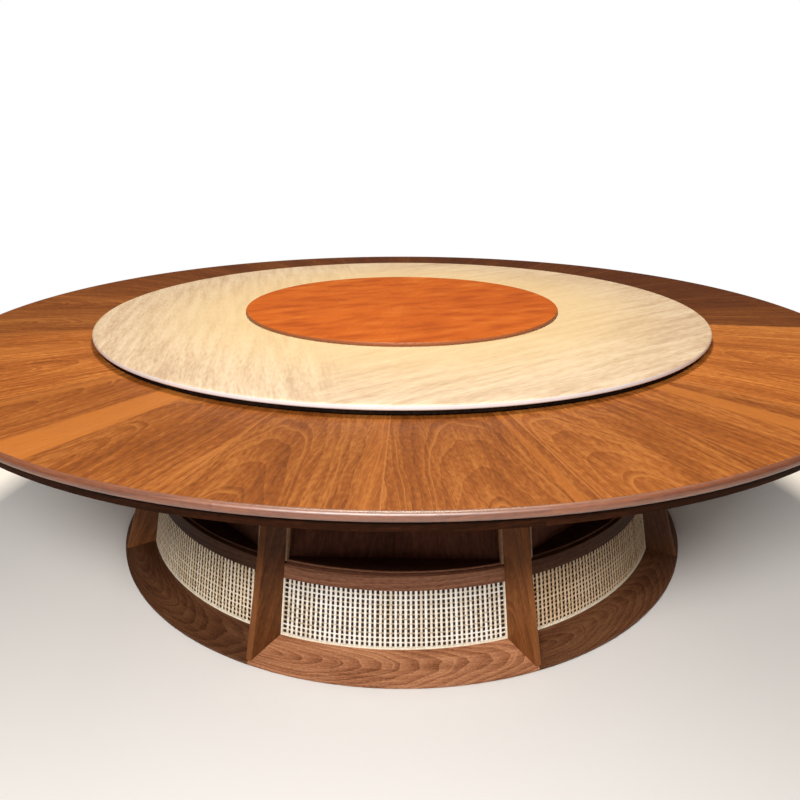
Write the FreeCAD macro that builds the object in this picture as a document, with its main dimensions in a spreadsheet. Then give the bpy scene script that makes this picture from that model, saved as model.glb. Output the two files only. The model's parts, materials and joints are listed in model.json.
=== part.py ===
import FreeCAD, Part
import os
import re
import Sketcher

# Large round dining table on a buttressed drum, with a stone turntable on a ball ring.
# Millimetres. The origin is on the floor at the table's axis, +Z is up and the front is -Y.

# Driving dimensions, one cell each in the document's sheet.
SIZES = {
    # Whole table
    "table_height": 760,
    "top_radius": 1460,
    "bay_count": 8,
    "front_angle": -90,
    "overrun": 5,
    "joint_angle": 0.01,
    # Glides under the plinth
    "glide_height": 6,
    "glide_radius": 22,
    "glide_inset": 59,
    # Plinth ring with its sloping top
    "plinth_slope_width": 101,
    "plinth_rim_height": 10,
    "plinth_rim_round": 3,
    "plinth_inner_margin": 38,
    "plinth_seat_height": 47,
    # Drum line that the cane and the rails follow
    "drum_foot_radius": 928,
    "drum_rake_share": 0.2,
    # Wedge fins between the bays
    "fin_foot_inset": 15,
    "fin_rake_share": 0.31,
    "fin_edge_thickness": 16,
    "fin_root_thickness": 84,
    "fin_inner_depth": 130,
    # Cane panels, their splines and their backing
    "cane_height": 167,
    "cane_thickness": 3,
    "cane_setback": 1,
    "spline_width": 5,
    "head_spline_width": 3,
    "spline_depth": 6,
    "backing_thickness": 6,
    # Moulded rails over the cane
    "rail_height": 37,
    "rail_ledge": 8,
    "rail_groove_height": 3,
    "rail_groove_depth": 16,
    "rail_lip_height": 6,
    "rail_lip_setback": 10,
    # Leaning boards at the back of the open niches, and the strips at their corners
    "niche_setback": 75,
    "niche_top_setback": 150,
    "niche_board_thickness": 18,
    "niche_seam": 2,
    "jamb_width": 6,
    "jamb_depth": 12,
    "jamb_setback": 2,
    # Tabletop: core panels, veneer leaves, nosing and the lower edge band
    "slab_thickness": 20,
    "veneer_thickness": 3,
    "leaf_count": 24,
    "opening_clearance": 30,
    "nosing_width": 10,
    "nosing_round": 8,
    "edge_segment_count": 16,
    "band_setback": 16,
    "band_width": 40,
    "band_height": 24,
    # Frame, bearers and beams under the tabletop
    "frame_thickness": 26,
    "frame_gap": 25,
    "frame_overhang": 53,
    "bearer_width": 90,
    "bearer_end_gap": 2,
    "beam_end_gap": 17,
    "beam_width": 70,
    "beam_height": 50,
    "plate_margin": 80,
    # Ball ring that carries the turntable
    "ball_circle_radius": 402,
    "ball_radius": 6,
    "ball_count": 24,
    "ball_clearance": 0.3,
    "ring_gap": 6,
    "ring_width": 35,
    "ring_end_gap": 3,
    "cage_thickness": 3,
    "cage_rim": 1.7,
    # Turntable
    "turntable_gap": 5,
    "board_thickness": 10,
    "board_setback": 7,
    "stone_radius": 1030,
    "stone_thickness": 15,
    "stone_round": 6,
    "disc_radius": 549,
    "disc_thickness": 12,
    "disc_round": 5,
    # Screws
    "screw_radius": 4,
    "screw_head_radius": 8,
    "screw_head_height": 5,
    "fin_screw_bite": 50,
    "fin_screw_spread": 44,
    "fin_base_screw_inset": 78,
    "fin_top_screw_inset": 65,
    "ring_screw_count": 8,
    "ring_screw_radius": 3,
    "ring_screw_head_radius": 6,
    "ring_screw_head_height": 4,
    "ring_screw_inset": 12,
    "plate_screw_cover": 8,
    "board_screw_cover": 2,
}

EDGE_MATCH = 1e-4

doc = FreeCAD.newDocument("round_dining_table")
sheet = doc.addObject("Spreadsheet::Sheet", "Sizes")
for row, (alias, value) in enumerate(SIZES.items(), start=1):
    sheet.set(f"A{row}", alias)
    sheet.set(f"B{row}", str(value))
    sheet.setAlias(f"B{row}", alias)
doc.recompute()

NODES = []


# Formulas in the names of the sheet


def formula(text):
    """Put the sheet's name in front of every size named in the text."""
    return re.sub(r"[a-z_]+", lambda m: f"Sizes.{m[0]}" if m[0] in SIZES else m[0], text)


def number(text):
    return float(sheet.evalExpression(formula(text)))


def bind(item, prop, text):
    item.setExpression(prop, formula(text))


PLINTH_RIM = "(drum_foot_radius + plinth_slope_width)"


def bay_turn(k):
    return f"front_angle + {k} * 360 / bay_count"


def fin_turn(k):
    return f"front_angle + {k} * 360 / bay_count + 180 / bay_count"


def drum(z):
    """Radius of the drum line at a height."""
    return f"(drum_foot_radius - drum_rake_share * ({z} - plinth_seat_height))"


def fin_edge(z):
    """Radius of a fin's outer edge at a height."""
    return f"({PLINTH_RIM} - fin_foot_inset - fin_rake_share * ({z} - plinth_seat_height))"


def beside_fin(along, aside):
    """Point of a bay, along its fin's middle line and then aside into the bay."""
    half = "(180 / bay_count)"
    return (
        f"({along}) * cos{half} + ({aside}) * sin{half}",
        f"({along}) * sin{half} - ({aside}) * cos{half}",
    )


def mirrored(corner):
    return corner[0], f"-({corner[1]})"


PLINTH_EDGE = "(glide_height + plinth_rim_height)"
PLINTH_INNER = "(drum_foot_radius - fin_inner_depth - plinth_inner_margin)"
CANE_FOOT = "(plinth_seat_height + spline_width)"
CANE_TOP = "(plinth_seat_height + cane_height)"
CANE_HEAD = f"({CANE_TOP} - head_spline_width)"
RAIL_FACE_TOP = f"({CANE_TOP} + rail_height)"
LIP_BOTTOM = f"({RAIL_FACE_TOP} + rail_groove_height)"
RAIL_TOP = f"({LIP_BOTTOM} + rail_lip_height)"
SLAB_BOTTOM = "(table_height - slab_thickness)"
CORE_TOP = "(table_height - veneer_thickness)"
FRAME_BOTTOM = f"({SLAB_BOTTOM} - frame_thickness)"
NICHE_FOOT = f"({drum(RAIL_TOP)} - niche_setback)"
NICHE_HEAD = f"({drum(FRAME_BOTTOM)} - niche_top_setback)"
BEAM_END = f"({NICHE_HEAD} - niche_board_thickness - beam_end_gap)"
BOARD_BOTTOM = "(table_height + turntable_gap)"
STONE_BOTTOM = f"({BOARD_BOTTOM} + board_thickness)"
DISC_BOTTOM = f"({STONE_BOTTOM} + stone_thickness)"
NOSING_INNER = "(top_radius - nosing_width)"
BAND_OUTER = "(top_radius - band_setback)"
BAND_INNER = f"({BAND_OUTER} - band_width)"
BALL_HEIGHT = f"(({SLAB_BOTTOM} + {BOARD_BOTTOM}) / 2)"
LOWER_RING_INNER = "(ball_circle_radius + ring_gap / 2)"
LOWER_RING_OUTER = f"({LOWER_RING_INNER} + ring_width)"
UPPER_RING_OUTER = "(ball_circle_radius - ring_gap / 2)"
UPPER_RING_INNER = f"({UPPER_RING_OUTER} - ring_width)"
TOP_OPENING = f"({LOWER_RING_OUTER} + opening_clearance)"
PLATE_RADIUS = f"({LOWER_RING_OUTER} + plate_margin)"
FRAME_INNER = f"({PLATE_RADIUS} + frame_gap)"
FRAME_OUTER = f"({fin_edge(FRAME_BOTTOM)} + frame_overhang)"
LOWER_SCREW_CIRCLE = f"({LOWER_RING_OUTER} - ring_screw_inset)"
UPPER_SCREW_CIRCLE = f"({UPPER_RING_INNER} + ring_screw_inset)"
FIN_BASE_SCREW = "(drum_foot_radius - fin_base_screw_inset)"
FIN_TOP_SCREW = f"({drum(FRAME_BOTTOM)} - fin_top_screw_inset)"
SCREW_ASIDE = "(fin_screw_spread / 2)"


# Bodies, sketches and features


def new_node(name, turn="0"):
    """Start a named sub-part, turned about the table's axis."""
    body = doc.addObject("PartDesign::Body", name)
    body.Label = name
    body.AllowCompound = True
    body.Placement.Rotation.Axis = FreeCAD.Vector(0, 0, 1)
    bind(body, "Placement.Rotation.Angle", turn)
    NODES.append(body)
    return body


def origin_item(body, role):
    return next(item for item in body.Origin.OriginFeatures if item.Role == role)


def new_sketch(body, role, lift="0"):
    sketch = body.newObject("Sketcher::SketchObject", "sketch")
    sketch.AttachmentSupport = [(origin_item(body, role), "")]
    sketch.MapMode = "FlatFace"
    bind(sketch, "AttachmentOffset.Base.z", lift)
    return sketch


def hold(sketch, kind, places, text):
    """Add one dimension to a sketch and bind it to a formula."""
    index = sketch.addConstraint(Sketcher.Constraint(kind, *places, number(text)))
    bind(sketch, f"Constraints[{index}]", text)


def pin(sketch, item, end, corner):
    """Hold a point of a sketch by its two coordinates."""
    for kind, axis, text in (("DistanceX", -2, corner[0]), ("DistanceY", -1, corner[1])):
        if text == "0":
            sketch.addConstraint(Sketcher.Constraint("PointOnObject", item, end, axis))
        else:
            hold(sketch, kind, (-1, 1, item, end), text)


def draw_polygon(sketch, corners):
    points = [FreeCAD.Vector(number(x), number(y), 0) for x, y in corners]
    first = sketch.GeometryCount
    count = len(corners)
    for k in range(count):
        sketch.addGeometry(Part.LineSegment(points[k], points[(k + 1) % count]), False)
    for k in range(count):
        after = first + (k + 1) % count
        sketch.addConstraint(Sketcher.Constraint("Coincident", first + k, 2, after, 1))
    for k, corner in enumerate(corners):
        pin(sketch, first + k, 1, corner)


def draw_circle(sketch, radius, centre=("0", "0")):
    middle = FreeCAD.Vector(number(centre[0]), number(centre[1]), 0)
    item = sketch.addGeometry(
        Part.Circle(middle, FreeCAD.Vector(0, 0, 1), number(radius)), False
    )
    pin(sketch, item, 3, centre)
    hold(sketch, "Radius", (item,), radius)


def revolve(body, corners, angle="360"):
    """Turn a profile, given as radius and height, evenly to both sides of the X axis."""
    sketch = new_sketch(body, "XZ_Plane")
    draw_polygon(sketch, corners)
    turned = body.newObject("PartDesign::Revolution", "turned")
    turned.Profile = (sketch, [""])
    turned.ReferenceAxis = (sketch, ["V_Axis"])
    bind(turned, "Angle", angle)
    turned.Midplane = True
    doc.recompute()
    return turned


def pad(body, sketch, length, midplane=False):
    padded = body.newObject("PartDesign::Pad", "padded")
    padded.Profile = (sketch, [""])
    bind(padded, "Length", length)
    padded.Midplane = midplane
    doc.recompute()
    return padded


def check_cut(body, before):
    doc.recompute()
    if not body.Shape.Volume < before:
        raise RuntimeError(f"a cut in {body.Label} removed nothing")


def pocket(body, sketch, length, forward=False, midplane=False):
    """Cut against the sketch's normal, or along it when forward is set."""
    before = body.Shape.Volume
    cut = body.newObject("PartDesign::Pocket", "cut")
    cut.Profile = (sketch, [""])
    bind(cut, "Length", length)
    cut.Reversed = forward
    cut.Midplane = midplane
    check_cut(body, before)
    return cut


def groove(body, sketch):
    """Turn a sketch right round the axis and take it away."""
    before = body.Shape.Volume
    cut = body.newObject("PartDesign::Groove", "groove")
    cut.Profile = (sketch, [""])
    cut.ReferenceAxis = (sketch, ["V_Axis"])
    bind(cut, "Angle", "360")
    check_cut(body, before)
    return cut


def copies(body, count, features=()):
    """Repeat the whole sub-part, or only the given features, evenly round the axis."""
    pattern = body.newObject("PartDesign::PolarPattern", "copies")
    pattern.Axis = (origin_item(body, "Z_Axis"), [""])
    pattern.Angle = 360
    bind(pattern, "Occurrences", count)
    if features:
        pattern.Originals = list(features)
    else:
        pattern.TransformMode = "Whole shape"
    body.Tip = pattern
    doc.recompute()


def round_rims(body, radius, size, *heights):
    """Round the circular edges of one radius at the given heights."""
    base = body.Tip
    wanted = [number(z) for z in heights]
    names = []
    for k, edge in enumerate(base.Shape.Edges, start=1):
        curve = edge.Curve
        if isinstance(curve, Part.Circle) and abs(curve.Radius - number(radius)) < EDGE_MATCH:
            if min(abs(curve.Center.z - z) for z in wanted) < EDGE_MATCH:
                names.append(f"Edge{k}")
    rounding = body.newObject("PartDesign::Fillet", "rounding")
    rounding.Base = (base, names)
    bind(rounding, "Radius", size)
    doc.recompute()


def box_profile(inner, outer, bottom, top):
    return [(inner, bottom), (outer, bottom), (outer, top), (inner, top)]


def raked_profile(setback, thickness, bottom, top):
    """Sheet that follows the drum line from one height to another."""
    return [
        (f"{drum(bottom)} - ({setback}) - ({thickness})", bottom),
        (f"{drum(bottom)} - ({setback})", bottom),
        (f"{drum(top)} - ({setback})", top),
        (f"{drum(top)} - ({setback}) - ({thickness})", top),
    ]


def trim_to_fins(body, aside, top):
    """Cut both ends of a bay's piece along the flanks of its two fins."""
    near = "drum_foot_radius / 2"
    far = f"{PLINTH_RIM} + overrun"
    end = [
        beside_fin(near, aside),
        beside_fin(far, aside),
        beside_fin(far, "-fin_inner_depth"),
        beside_fin(near, "-fin_inner_depth"),
    ]
    sketch = new_sketch(body, "XY_Plane", f"{top} + overrun")
    draw_polygon(sketch, end)
    draw_polygon(sketch, [mirrored(corner) for corner in end])
    pocket(body, sketch, f"{top} + overrun")


def sector_ring(name, turn, count, inner, outer, bottom, top):
    """Start one sector of a ring; copies() then closes it with fine joints."""
    body = new_node(name, turn)
    revolve(body, box_profile(inner, outer, bottom, top), f"360 / {count} - joint_angle")
    return body


def disc(name, radius, bottom, thickness):
    body = new_node(name, "0")
    sketch = new_sketch(body, "XY_Plane", bottom)
    draw_circle(sketch, radius)
    pad(body, sketch, thickness)
    return body


def stud(body, places, radius, bottom, length):
    """Add a round stud at each place."""
    sketch = new_sketch(body, "XY_Plane", bottom)
    for place in places:
        draw_circle(sketch, radius, place)
    pad(body, sketch, length)


def drill(body, places, radius, start, depth, upward=False):
    """Drill a round hole at each place from a height, downward unless told otherwise."""
    sketch = new_sketch(body, "XY_Plane", start)
    for place in places:
        draw_circle(sketch, radius, place)
    return pocket(body, sketch, depth, forward=upward)


FIN_PAIR_BASE = [(FIN_BASE_SCREW, SCREW_ASIDE), (FIN_BASE_SCREW, f"-{SCREW_ASIDE}")]
FIN_PAIR_TOP = [(FIN_TOP_SCREW, SCREW_ASIDE), (FIN_TOP_SCREW, f"-{SCREW_ASIDE}")]
BAYS = range(int(number("bay_count")))


# Base


def make_glides():
    body = new_node("glides", bay_turn(0) + " + 90 / bay_count")
    stud(body, [(f"{PLINTH_RIM} - glide_inset", "0")], "glide_radius", "0", "glide_height")
    copies(body, "2 * bay_count")


def make_plinth_segment(k):
    """Curved plinth block between two fins, with a rounded rim and a sloping top."""
    body = new_node(f"plinth_segment_{k + 1}", bay_turn(k))
    profile = [
        (PLINTH_INNER, "glide_height"),
        (PLINTH_RIM, "glide_height"),
        (PLINTH_RIM, PLINTH_EDGE),
        ("drum_foot_radius", "plinth_seat_height"),
        (PLINTH_INNER, "plinth_seat_height"),
    ]
    revolve(body, profile, "360 / bay_count")
    round_rims(body, PLINTH_RIM, "plinth_rim_round", "glide_height", PLINTH_EDGE)
    corner = beside_fin(FIN_BASE_SCREW, SCREW_ASIDE)
    places = [corner, mirrored(corner)]
    drill(body, places, "screw_radius", "glide_height", "plinth_seat_height", upward=True)
    drill(body, places, "screw_head_radius", "glide_height", "screw_head_height", upward=True)


def fin_section(body, z):
    sketch = new_sketch(body, "XY_Plane", z)
    inner = f"{drum(z)} - fin_inner_depth"
    side = [
        (fin_edge(z), "fin_edge_thickness / 2"),
        (drum(z), "fin_root_thickness / 2"),
        (inner, "fin_root_thickness / 2"),
    ]
    draw_polygon(sketch, side + [mirrored(corner) for corner in reversed(side)])
    return sketch


def make_fin(k):
    """Buttress that is wedge-shaped in plan and leans in with the drum."""
    body = new_node(f"fin_{k + 1}", fin_turn(k))
    low = fin_section(body, "glide_height")
    high = fin_section(body, FRAME_BOTTOM)
    blade = body.newObject("PartDesign::AdditiveLoft", "blade")
    blade.Profile = (low, [""])
    blade.Sections = [(high, [""])]
    blade.Ruled = True
    doc.recompute()
    under = new_sketch(body, "XZ_Plane")
    seat = [
        (f"{PLINTH_INNER} - overrun", "-overrun"),
        (f"{PLINTH_RIM} + overrun", "-overrun"),
        (f"{PLINTH_RIM} + overrun", PLINTH_EDGE),
        (PLINTH_RIM, PLINTH_EDGE),
        ("drum_foot_radius", "plinth_seat_height"),
        (f"{PLINTH_INNER} - overrun", "plinth_seat_height"),
    ]
    draw_polygon(under, seat)
    groove(body, under)
    drill(body, FIN_PAIR_BASE, "screw_radius", "plinth_seat_height", "fin_screw_bite", upward=True)
    drill(body, FIN_PAIR_TOP, "screw_radius", FRAME_BOTTOM, "fin_screw_bite")


def make_fin_screws():
    base = new_node("fin_base_screws", fin_turn(0))
    stud(base, FIN_PAIR_BASE, "screw_head_radius", "glide_height", "screw_head_height")
    shank = "plinth_seat_height - glide_height + fin_screw_bite"
    stud(base, FIN_PAIR_BASE, "screw_radius", "glide_height", shank)
    copies(base, "bay_count")
    top = new_node("fin_top_screws", fin_turn(0))
    head_bottom = f"{SLAB_BOTTOM} - screw_head_height"
    stud(top, FIN_PAIR_TOP, "screw_head_radius", head_bottom, "screw_head_height")
    tip = f"{FRAME_BOTTOM} - fin_screw_bite"
    stud(top, FIN_PAIR_TOP, "screw_radius", tip, "fin_screw_bite + frame_thickness")
    copies(top, "bay_count")


# Bays


def make_cane_panel(k):
    """Curved cane sheet, held by splines along all four edges."""
    body = new_node(f"cane_panel_{k + 1}", bay_turn(k))
    profile = raked_profile("cane_setback", "cane_thickness", CANE_FOOT, CANE_HEAD)
    revolve(body, profile, "360 / bay_count")
    trim_to_fins(body, "fin_root_thickness / 2 + spline_width", CANE_TOP)


def make_cane_backings():
    body = new_node("cane_backings", bay_turn(0))
    profile = raked_profile("spline_depth", "backing_thickness", "plinth_seat_height", CANE_TOP)
    revolve(body, profile, "360 / bay_count")
    trim_to_fins(body, "fin_root_thickness / 2", CANE_TOP)
    copies(body, "bay_count")


def make_level_splines(name, bottom, top):
    """Curved splines along one level edge of the cane, a spline to each bay."""
    body = new_node(name, bay_turn(0))
    revolve(body, raked_profile("0", "spline_depth", bottom, top), "360 / bay_count")
    trim_to_fins(body, "fin_root_thickness / 2", top)
    copies(body, "bay_count")


def make_side_splines():
    """Upright splines along both flanks of every fin, between the level splines."""
    body = new_node("cane_side_splines", fin_turn(0))
    depth = "spline_depth - cane_setback"
    for side in (1, -1):
        lift = f"{side} * (fin_root_thickness / 2 + spline_width / 2)"
        sketch = new_sketch(body, "XZ_Plane", lift)
        draw_polygon(sketch, raked_profile("cane_setback", depth, CANE_FOOT, CANE_HEAD))
        pad(body, sketch, "spline_width", midplane=True)
    copies(body, "bay_count")


def make_cane_rail(k):
    """Curved shelf rail over the cane, with a shadow groove under a thin lip."""
    body = new_node(f"cane_rail_{k + 1}", bay_turn(k))
    groove_wall = f"{drum(RAIL_FACE_TOP)} - rail_groove_depth"
    lip = f"{drum(RAIL_FACE_TOP)} - rail_lip_setback"
    back = f"{NICHE_FOOT} - niche_board_thickness - rail_ledge"
    profile = [
        (back, CANE_TOP),
        (drum(CANE_TOP), CANE_TOP),
        (drum(RAIL_FACE_TOP), RAIL_FACE_TOP),
        (groove_wall, RAIL_FACE_TOP),
        (groove_wall, LIP_BOTTOM),
        (lip, LIP_BOTTOM),
        (lip, RAIL_TOP),
        (back, RAIL_TOP),
    ]
    revolve(body, profile, "360 / bay_count")
    trim_to_fins(body, "fin_root_thickness / 2", RAIL_TOP)


def make_niche_panels():
    """Two flat boards a bay, leaning in from the rail to the frame."""
    body = new_node("niche_panels", bay_turn(0))
    profile = [
        (f"{NICHE_FOOT} - niche_board_thickness", RAIL_TOP),
        (NICHE_FOOT, RAIL_TOP),
        (NICHE_HEAD, FRAME_BOTTOM),
        (f"{NICHE_HEAD} - niche_board_thickness", FRAME_BOTTOM),
    ]
    sketch = new_sketch(body, "XZ_Plane")
    draw_polygon(sketch, profile)
    pad(body, sketch, f"2 * {NICHE_FOOT} * tan(180 / bay_count)", midplane=True)
    trim_to_fins(body, "fin_root_thickness / 2", FRAME_BOTTOM)
    seam = new_sketch(body, "XY_Plane", f"{FRAME_BOTTOM} + overrun")
    near = f"{NICHE_HEAD} - niche_board_thickness - overrun"
    far = f"{NICHE_FOOT} + overrun"
    draw_polygon(seam, box_profile(near, far, "-niche_seam / 2", "niche_seam / 2"))
    pocket(body, seam, f"{FRAME_BOTTOM} + overrun")
    copies(body, "bay_count")


def make_jamb_strips():
    """Thin strips in the corners between the fins and the open niches, from rail to frame."""
    body = new_node("niche_jamb_strips", fin_turn(0))
    for side in (1, -1):
        lift = f"{side} * (fin_root_thickness / 2 + jamb_width / 2)"
        sketch = new_sketch(body, "XZ_Plane", lift)
        draw_polygon(sketch, raked_profile("jamb_setback", "jamb_depth", RAIL_TOP, FRAME_BOTTOM))
        pad(body, sketch, "jamb_width", midplane=True)
    copies(body, "bay_count")


# Tabletop and what carries it


def make_top_frame():
    """Ring of flat segments that ties the fins together under the top."""
    body = sector_ring(
        "top_frame", fin_turn(0), "bay_count",
        FRAME_INNER, FRAME_OUTER, FRAME_BOTTOM, SLAB_BOTTOM,
    )
    drill(body, FIN_PAIR_TOP, "screw_radius", SLAB_BOTTOM, "frame_thickness")
    drill(body, FIN_PAIR_TOP, "screw_head_radius", SLAB_BOTTOM, "screw_head_height")
    copies(body, "bay_count")


def make_bearers():
    """Flat radial ribs that stiffen the overhang, from the frame to the edge band."""
    body = new_node("top_bearers", fin_turn(0))
    sketch = new_sketch(body, "XY_Plane", FRAME_BOTTOM)
    outline = box_profile(
        FRAME_OUTER, f"{BAND_INNER} - bearer_end_gap", "-bearer_width / 2", "bearer_width / 2"
    )
    draw_polygon(sketch, outline)
    pad(body, sketch, "frame_thickness")
    copies(body, "bay_count")


def make_beams():
    """Crossed beams that carry the bearing plate across the frame's opening."""
    bottom = f"{FRAME_BOTTOM} - beam_height"
    half = "beam_width / 2"
    main = new_node("main_beam", "0")
    sketch = new_sketch(main, "XY_Plane", bottom)
    draw_polygon(sketch, box_profile(f"-{BEAM_END}", BEAM_END, f"-{half}", half))
    pad(main, sketch, "beam_height")
    side = new_node("side_beams", "0")
    sketch = new_sketch(side, "XY_Plane", bottom)
    draw_polygon(sketch, box_profile(f"-{half}", half, half, BEAM_END))
    draw_polygon(sketch, box_profile(f"-{half}", half, f"-{BEAM_END}", f"-{half}"))
    pad(side, sketch, "beam_height")


def make_top():
    core = sector_ring(
        "top_core_panels", bay_turn(0), "bay_count",
        TOP_OPENING, NOSING_INNER, SLAB_BOTTOM, CORE_TOP,
    )
    copies(core, "bay_count")
    leaves = sector_ring(
        "veneer_leaves", bay_turn(0) + " + 180 / leaf_count", "leaf_count",
        TOP_OPENING, NOSING_INNER, CORE_TOP, "table_height",
    )
    copies(leaves, "leaf_count")
    nosing = sector_ring(
        "edge_nosing", bay_turn(0), "edge_segment_count",
        NOSING_INNER, "top_radius", SLAB_BOTTOM, "table_height",
    )
    round_rims(nosing, "top_radius", "nosing_round", SLAB_BOTTOM, "table_height")
    copies(nosing, "edge_segment_count")
    band = sector_ring(
        "under_edge_band", bay_turn(0), "edge_segment_count",
        BAND_INNER, BAND_OUTER, f"{SLAB_BOTTOM} - band_height", SLAB_BOTTOM,
    )
    copies(band, "edge_segment_count")


def make_bearing_plate():
    body = disc("bearing_plate", PLATE_RADIUS, FRAME_BOTTOM, "frame_thickness")
    hole = drill(
        body, [(LOWER_SCREW_CIRCLE, "0")], "ring_screw_radius", SLAB_BOTTOM,
        "frame_thickness - plate_screw_cover",
    )
    copies(body, "ring_screw_count", [hole])


# Ball ring


def cut_race(body):
    sketch = new_sketch(body, "XZ_Plane")
    draw_circle(sketch, "ball_radius + ball_clearance", ("ball_circle_radius", BALL_HEIGHT))
    groove(body, sketch)


def make_bearing():
    lower_top = f"({BOARD_BOTTOM} - ring_end_gap)"
    lower = new_node("bearing_lower_ring", "0")
    revolve(lower, box_profile(LOWER_RING_INNER, LOWER_RING_OUTER, SLAB_BOTTOM, lower_top))
    cut_race(lower)
    place = [(LOWER_SCREW_CIRCLE, "0")]
    height = f"{lower_top} - {SLAB_BOTTOM}"
    shank = drill(lower, place, "ring_screw_radius", lower_top, height)
    head = drill(lower, place, "ring_screw_head_radius", lower_top, "ring_screw_head_height")
    copies(lower, "ring_screw_count", [shank, head])

    upper_bottom = f"({SLAB_BOTTOM} + ring_end_gap)"
    upper = new_node("bearing_upper_ring", "0")
    revolve(upper, box_profile(UPPER_RING_INNER, UPPER_RING_OUTER, upper_bottom, BOARD_BOTTOM))
    cut_race(upper)
    place = [(UPPER_SCREW_CIRCLE, "0")]
    height = f"{BOARD_BOTTOM} - {upper_bottom}"
    shank = drill(upper, place, "ring_screw_radius", upper_bottom, height, upward=True)
    head = drill(
        upper, place, "ring_screw_head_radius", upper_bottom, "ring_screw_head_height", upward=True
    )
    copies(upper, "ring_screw_count", [shank, head])

    cage = new_node("ball_cage", "0")
    half = "cage_thickness / 2"
    rise = "(ball_radius + ball_clearance + cage_rim)"
    revolve(
        cage,
        box_profile(
            f"ball_circle_radius - {half}", f"ball_circle_radius + {half}",
            f"{BALL_HEIGHT} - {rise}", f"{BALL_HEIGHT} + {rise}",
        ),
    )
    window = new_sketch(cage, "YZ_Plane")
    draw_circle(window, "ball_radius + ball_clearance", ("0", BALL_HEIGHT))
    cut = pocket(cage, window, "ball_circle_radius + ball_radius", forward=True)
    copies(cage, "ball_count", [cut])

    balls = new_node("bearing_balls", "0")
    ball = balls.newObject("PartDesign::AdditiveSphere", "ball")
    bind(ball, "Radius", "ball_radius")
    bind(ball, "Placement.Base.x", "ball_circle_radius")
    bind(ball, "Placement.Base.z", BALL_HEIGHT)
    doc.recompute()
    copies(balls, "ball_count")


def make_bearing_screws():
    lower = new_node("bearing_lower_screws", "0")
    place = [(LOWER_SCREW_CIRCLE, "0")]
    head_top = f"{BOARD_BOTTOM} - ring_end_gap"
    head_bottom = f"{head_top} - ring_screw_head_height"
    stud(lower, place, "ring_screw_head_radius", head_bottom, "ring_screw_head_height")
    tip = f"{FRAME_BOTTOM} + plate_screw_cover"
    stud(lower, place, "ring_screw_radius", tip, f"{head_top} - ({tip})")
    copies(lower, "ring_screw_count")

    upper = new_node("bearing_upper_screws", "0")
    place = [(UPPER_SCREW_CIRCLE, "0")]
    bottom = f"{SLAB_BOTTOM} + ring_end_gap"
    stud(upper, place, "ring_screw_head_radius", bottom, "ring_screw_head_height")
    length = f"{STONE_BOTTOM} - board_screw_cover - ({bottom})"
    stud(upper, place, "ring_screw_radius", bottom, length)
    copies(upper, "ring_screw_count")


# Turntable


def make_turntable():
    board = disc("turntable_board", "stone_radius - board_setback", BOARD_BOTTOM, "board_thickness")
    place = [(UPPER_SCREW_CIRCLE, "0")]
    bite = "board_thickness - board_screw_cover"
    hole = drill(board, place, "ring_screw_radius", BOARD_BOTTOM, bite, upward=True)
    copies(board, "ring_screw_count", [hole])
    stone = disc("stone_top", "stone_radius", STONE_BOTTOM, "stone_thickness")
    stone_top = f"{STONE_BOTTOM} + stone_thickness"
    round_rims(stone, "stone_radius", "stone_round", STONE_BOTTOM, stone_top)
    middle = disc("centre_disc", "disc_radius", DISC_BOTTOM, "disc_thickness")
    round_rims(middle, "disc_radius", "disc_round", DISC_BOTTOM, f"{DISC_BOTTOM} + disc_thickness")


make_glides()
for bay in BAYS:
    make_plinth_segment(bay)
    make_fin(bay)
    make_cane_panel(bay)
    make_cane_rail(bay)
make_fin_screws()
make_cane_backings()
make_level_splines("cane_foot_splines", "plinth_seat_height", CANE_FOOT)
make_level_splines("cane_head_splines", CANE_HEAD, CANE_TOP)
make_side_splines()
make_niche_panels()
make_jamb_strips()
make_top_frame()
make_bearers()
make_beams()
make_top()
make_bearing_plate()
make_bearing()
make_bearing_screws()
make_turntable()
doc.recompute()

failed = [item.Label for item in doc.Objects if {"Invalid", "Error"} & set(item.State)]
failed += [node.Label for node in NODES if node.Shape.isNull() or not node.Shape.isValid()]
if failed:
    raise RuntimeError("these did not build: " + ", ".join(failed))
os.makedirs("parts", exist_ok=True)
for node in NODES:
    node.Shape.exportStep(f"parts/{node.Label}.step")
    print(node.Label, len(node.Shape.Solids), round(node.Shape.Volume))
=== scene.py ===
# %% [markdown]
# # A round dining table with a turning stone tray
#
# The table has a drum base of wooden fins and woven cane, a wide veneered top and a stone tray that
# turns on a ball ring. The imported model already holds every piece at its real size. So this lesson
# gives the surfaces their wood, stone and cane, weaves the cane for real, eases the sharp edges of
# the base and sets the table on a studio floor.
# Everything is in metres. The origin is on the floor under the middle of the table, +Z is up, and
# the front of the table faces -Y.

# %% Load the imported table
import json
import math

import bpy
import numpy as np
from mathutils import Color, Matrix, Vector


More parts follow.
